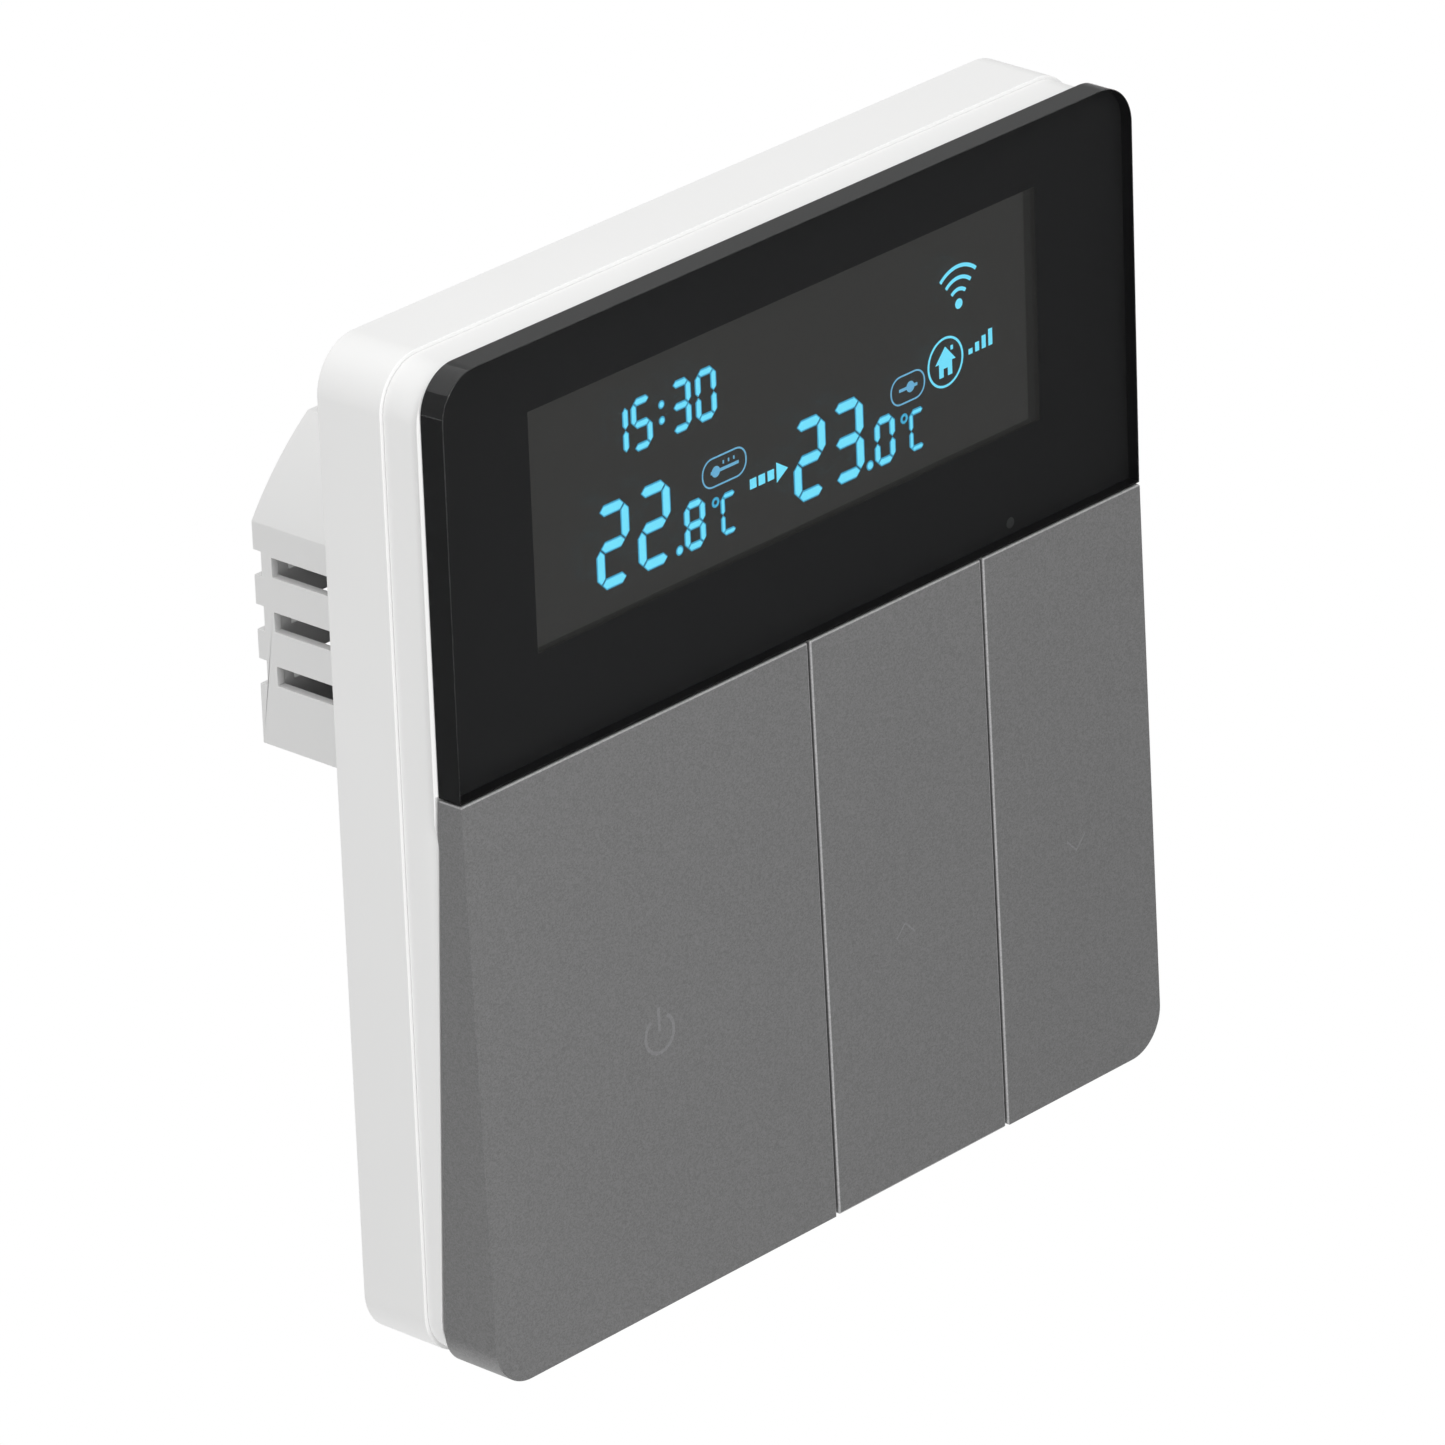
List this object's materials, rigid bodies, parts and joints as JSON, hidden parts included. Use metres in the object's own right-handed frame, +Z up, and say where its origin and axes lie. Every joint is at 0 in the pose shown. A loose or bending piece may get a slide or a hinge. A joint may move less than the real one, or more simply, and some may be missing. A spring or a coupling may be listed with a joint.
{
  "type": "wall thermostat",
  "caption": "Square wall thermostat: black glass display panel over a row of slanted press keys, snapped to a shallow tray with a vented rear housing and screw terminals.",
  "frame": {"origin": "centre of the face, on the plane where the tray meets the wall", "axes": "+X right seen from the room, +Y into the wall, +Z up; the display and keys face -Y"},
  "size_m": [0.0864, 0.0412, 0.0914],
  "materials": {
    "white_plastic": "satin moulded ABS",
    "key_paint": "metallic grey paint on moulded ABS",
    "black_glass": "polished glass with a black printed back",
    "adhesive_tape": "matt foam tape",
    "display_glass": "smooth dark display cell",
    "clear_acrylic": "polished",
    "circuit_board": "solder mask",
    "black_plastic": "fine moulded texture",
    "plated_steel": "bright zinc plate",
    "brass": "stamped and plated",
    "relay_case": "smooth moulded case",
    "ferrite": "sintered",
    "yellow_film": "polyester film",
    "capacitor_sleeve": "shrunk sleeve",
    "varistor_coating": "dipped epoxy coating",
    "fuse_ceramic": "unglazed body",
    "grey_nylon": "moulded nylon"
  },
  "bodies": {
    "rear_module": {"rear_housing": "white_plastic", "inner_cover": "white_plastic", "housing_screw_1": "plated_steel", "housing_screw_2": "plated_steel", "housing_screw_3": "plated_steel", "housing_screw_4": "plated_steel", "power_board": "circuit_board", "relay": "relay_case", "transformer_core": "ferrite", "transformer_bobbin": "yellow_film", "bulk_capacitor": "capacitor_sleeve", "x_capacitor": "yellow_film", "varistor": "varistor_coating", "fuse": "fuse_ceramic", "header_socket": "black_plastic", "terminal_block": "grey_nylon", "terminal_bar_1": "brass", "terminal_bar_2": "brass", "terminal_bar_3": "brass", "terminal_bar_4": "brass", "terminal_bar_5": "brass", "terminal_bar_6": "brass"},
    "front_panel": {"front_cover": "white_plastic", "front_glass": "black_glass", "glass_tape": "adhesive_tape", "lcd_panel": "display_glass", "backlight_guide": "clear_acrylic", "lcd_holder": "black_plastic", "display_board": "circuit_board", "board_screw_1": "plated_steel", "board_screw_2": "plated_steel", "board_screw_3": "plated_steel", "microcontroller": "black_plastic", "radio_module": "plated_steel", "buzzer": "black_plastic", "backup_cell": "plated_steel", "room_sensor": "black_plastic", "status_led": "clear_acrylic", "pin_header": "black_plastic", "tact_body_mode": "plated_steel", "tact_body_up": "plated_steel", "tact_body_down": "plated_steel"},
    "mode_key": {"key_mode": "key_paint"},
    "mode_plunger": {"tact_plunger_mode": "black_plastic"},
    "up_key": {"key_up": "key_paint"},
    "up_plunger": {"tact_plunger_up": "black_plastic"},
    "down_key": {"key_down": "key_paint"},
    "down_plunger": {"tact_plunger_down": "black_plastic"},
    "screw_1": {"terminal_screw_1": "plated_steel"},
    "cage_1": {"terminal_cage_1": "brass"},
    "screw_2": {"terminal_screw_2": "plated_steel"},
    "cage_2": {"terminal_cage_2": "brass"},
    "screw_3": {"terminal_screw_3": "plated_steel"},
    "cage_3": {"terminal_cage_3": "brass"},
    "screw_4": {"terminal_screw_4": "plated_steel"},
    "cage_4": {"terminal_cage_4": "brass"},
    "screw_5": {"terminal_screw_5": "plated_steel"},
    "cage_5": {"terminal_cage_5": "brass"},
    "screw_6": {"terminal_screw_6": "plated_steel"},
    "cage_6": {"terminal_cage_6": "brass"}
  },
  "joints": [
    {"name": "front_release", "type": "slide", "parent": "rear_module", "child": "front_panel", "axis": [0, -1, 0], "range_m": [0, 0.03]},
    {"name": "mode_key_press", "type": "hinge", "parent": "front_panel", "child": "mode_key", "pos_m": [0, -0.0107, 0.005], "axis": [1, 0, 0], "range_deg": [0, 0.43], "stiffness_Nm_per_rad": 7},
    {"name": "mode_plunger_travel", "type": "slide", "parent": "front_panel", "child": "mode_plunger", "axis": [0, 1, 0], "range_m": [0, 0.00026]},
    {"name": "up_key_press", "type": "hinge", "parent": "front_panel", "child": "up_key", "pos_m": [0, -0.0107, 0.005], "axis": [1, 0, 0], "range_deg": [0, 0.43], "stiffness_Nm_per_rad": 7},
    {"name": "up_plunger_travel", "type": "slide", "parent": "front_panel", "child": "up_plunger", "axis": [0, 1, 0], "range_m": [0, 0.00026]},
    {"name": "down_key_press", "type": "hinge", "parent": "front_panel", "child": "down_key", "pos_m": [0, -0.0107, 0.005], "axis": [1, 0, 0], "range_deg": [0, 0.43], "stiffness_Nm_per_rad": 7},
    {"name": "down_plunger_travel", "type": "slide", "parent": "front_panel", "child": "down_plunger", "axis": [0, 1, 0], "range_m": [0, 0.00026]},
    {"name": "terminal_1_turn", "type": "hinge", "parent": "rear_module", "child": "screw_1", "pos_m": [-0.01875, 0.009, -0.013], "axis": [0, -1, 0], "range_deg": [0, 1620]},
    {"name": "terminal_1_rise", "type": "slide", "parent": "rear_module", "child": "cage_1", "axis": [0, 1, 0], "range_m": [0, 0.00225]},
    {"name": "terminal_2_turn", "type": "hinge", "parent": "rear_module", "child": "screw_2", "pos_m": [-0.01125, 0.009, -0.013], "axis": [0, -1, 0], "range_deg": [0, 1620]},
    {"name": "terminal_2_rise", "type": "slide", "parent": "rear_module", "child": "cage_2", "axis": [0, 1, 0], "range_m": [0, 0.00225]},
    {"name": "terminal_3_turn", "type": "hinge", "parent": "rear_module", "child": "screw_3", "pos_m": [-0.00375, 0.009, -0.013], "axis": [0, -1, 0], "range_deg": [0, 1620]},
    {"name": "terminal_3_rise", "type": "slide", "parent": "rear_module", "child": "cage_3", "axis": [0, 1, 0], "range_m": [0, 0.00225]},
    {"name": "terminal_4_turn", "type": "hinge", "parent": "rear_module", "child": "screw_4", "pos_m": [0.00375, 0.009, -0.013], "axis": [0, -1, 0], "range_deg": [0, 1620]},
    {"name": "terminal_4_rise", "type": "slide", "parent": "rear_module", "child": "cage_4", "axis": [0, 1, 0], "range_m": [0, 0.00225]},
    {"name": "terminal_5_turn", "type": "hinge", "parent": "rear_module", "child": "screw_5", "pos_m": [0.01125, 0.009, -0.013], "axis": [0, -1, 0], "range_deg": [0, 1620]},
    {"name": "terminal_5_rise", "type": "slide", "parent": "rear_module", "child": "cage_5", "axis": [0, 1, 0], "range_m": [0, 0.00225]},
    {"name": "terminal_6_turn", "type": "hinge", "parent": "rear_module", "child": "screw_6", "pos_m": [0.01875, 0.009, -0.013], "axis": [0, -1, 0], "range_deg": [0, 1620]},
    {"name": "terminal_6_rise", "type": "slide", "parent": "rear_module", "child": "cage_6", "axis": [0, 1, 0], "range_m": [0, 0.00225]}
  ],
  "couplings": [
    {"joint": "mode_plunger_travel", "follows": "mode_key_press", "m_per_rad": 0.033},
    {"joint": "up_plunger_travel", "follows": "up_key_press", "m_per_rad": 0.033},
    {"joint": "down_plunger_travel", "follows": "down_key_press", "m_per_rad": 0.033},
    {"joint": "terminal_1_turn", "follows": "terminal_1_rise", "rad_per_m": 12566},
    {"joint": "terminal_2_turn", "follows": "terminal_2_rise", "rad_per_m": 12566},
    {"joint": "terminal_3_turn", "follows": "terminal_3_rise", "rad_per_m": 12566},
    {"joint": "terminal_4_turn", "follows": "terminal_4_rise", "rad_per_m": 12566},
    {"joint": "terminal_5_turn", "follows": "terminal_5_rise", "rad_per_m": 12566},
    {"joint": "terminal_6_turn", "follows": "terminal_6_rise", "rad_per_m": 12566}
  ]
}
